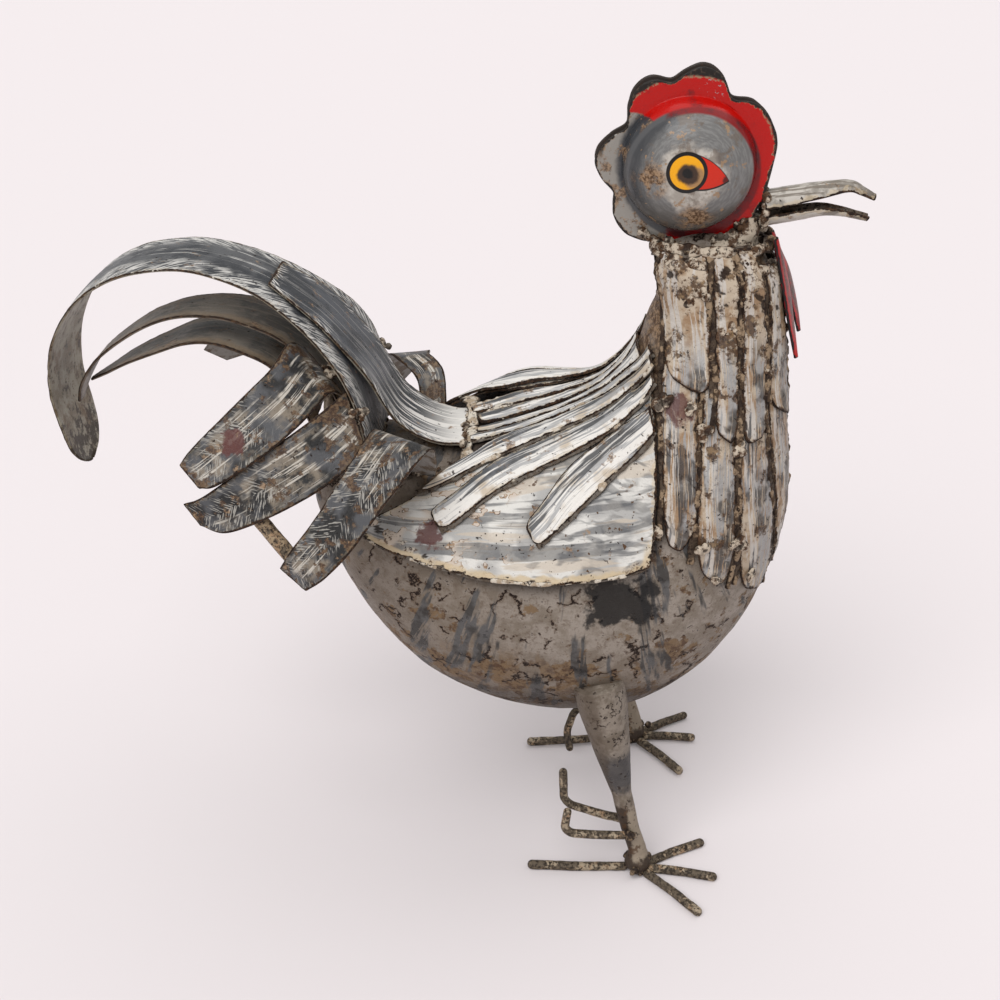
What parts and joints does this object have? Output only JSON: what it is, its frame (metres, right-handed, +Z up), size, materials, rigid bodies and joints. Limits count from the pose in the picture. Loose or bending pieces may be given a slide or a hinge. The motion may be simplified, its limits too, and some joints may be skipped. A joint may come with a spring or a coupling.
{
  "type": "scrap metal rooster sculpture",
  "caption": "Standing rooster welded from painted scrap sheet and round bar, with a domed comb head, open beak, feather strips and arched tail bands.",
  "frame": {"origin": "middle of the bounding box on the ground plane that the toes stand on", "axes": "+X the way the beak points, +Y the bird's left side, +Z up"},
  "size_m": [0.4802, 0.2406, 0.5087],
  "materials": {
    "belly_paint": "tan grey paint with dark brush strokes, cracked and pitted with rust",
    "feather_paint": "cream and grey brush strokes over dark grey, rust along edges and welds",
    "neck_paint": "cream paint over dark grey, heavily worn to brown rust, weld spatter",
    "tail_paint": "dark grey with cream feather barb strokes, worn brown edges",
    "head_paint": "grey and red gloss paint, painted eye, chipped to tan primer",
    "red_paint": "red gloss paint, dark worn edges",
    "bar_steel": "rusty dark brown bar with worn cream paint"
  },
  "bodies": {
    "root": {"body": "belly_paint", "head_plate_left": "head_paint", "head_plate_right": "head_paint", "leg_left": "bar_steel", "leg_right": "bar_steel", "lower_beak": "head_paint", "main_sickle": "tail_paint", "neck_strip_left_1": "neck_paint", "neck_strip_left_2": "neck_paint", "neck_strip_left_3": "neck_paint", "neck_strip_left_4": "neck_paint", "neck_strip_left_5": "neck_paint", "neck_strip_left_6": "neck_paint", "neck_strip_left_7": "neck_paint", "neck_strip_left_8": "neck_paint", "neck_strip_right_1": "neck_paint", "neck_strip_right_2": "neck_paint", "neck_strip_right_3": "neck_paint", "neck_strip_right_4": "neck_paint", "neck_strip_right_5": "neck_paint", "neck_strip_right_6": "neck_paint", "neck_strip_right_7": "neck_paint", "neck_strip_right_8": "neck_paint", "saddle_strip_left": "tail_paint", "saddle_strip_right": "tail_paint", "second_sickle": "tail_paint", "sickle_overlay": "tail_paint", "spur_left": "bar_steel", "spur_right_lower": "bar_steel", "spur_right_upper": "bar_steel", "tail_brace": "bar_steel", "tail_covert_left_1": "tail_paint", "tail_covert_left_2": "tail_paint", "tail_covert_right_1": "tail_paint", "tail_covert_right_2": "tail_paint", "tail_root": "belly_paint", "third_sickle": "tail_paint", "toe_left_1": "bar_steel", "toe_left_2": "bar_steel", "toe_left_3": "bar_steel", "toe_left_4": "bar_steel", "toe_right_1": "bar_steel", "toe_right_2": "bar_steel", "toe_right_3": "bar_steel", "toe_right_4": "bar_steel", "upper_beak": "head_paint", "wattle_left": "red_paint", "wattle_right": "red_paint", "wing_left": "feather_paint", "wing_right": "feather_paint", "wing_strip_left_1": "feather_paint", "wing_strip_left_2": "feather_paint", "wing_strip_left_3": "feather_paint", "wing_strip_left_4": "feather_paint", "wing_strip_right_1": "feather_paint", "wing_strip_right_2": "feather_paint", "wing_strip_right_3": "feather_paint", "wing_strip_right_4": "feather_paint", "wing_strip_right_5": "feather_paint"}
  },
  "joints": []
}
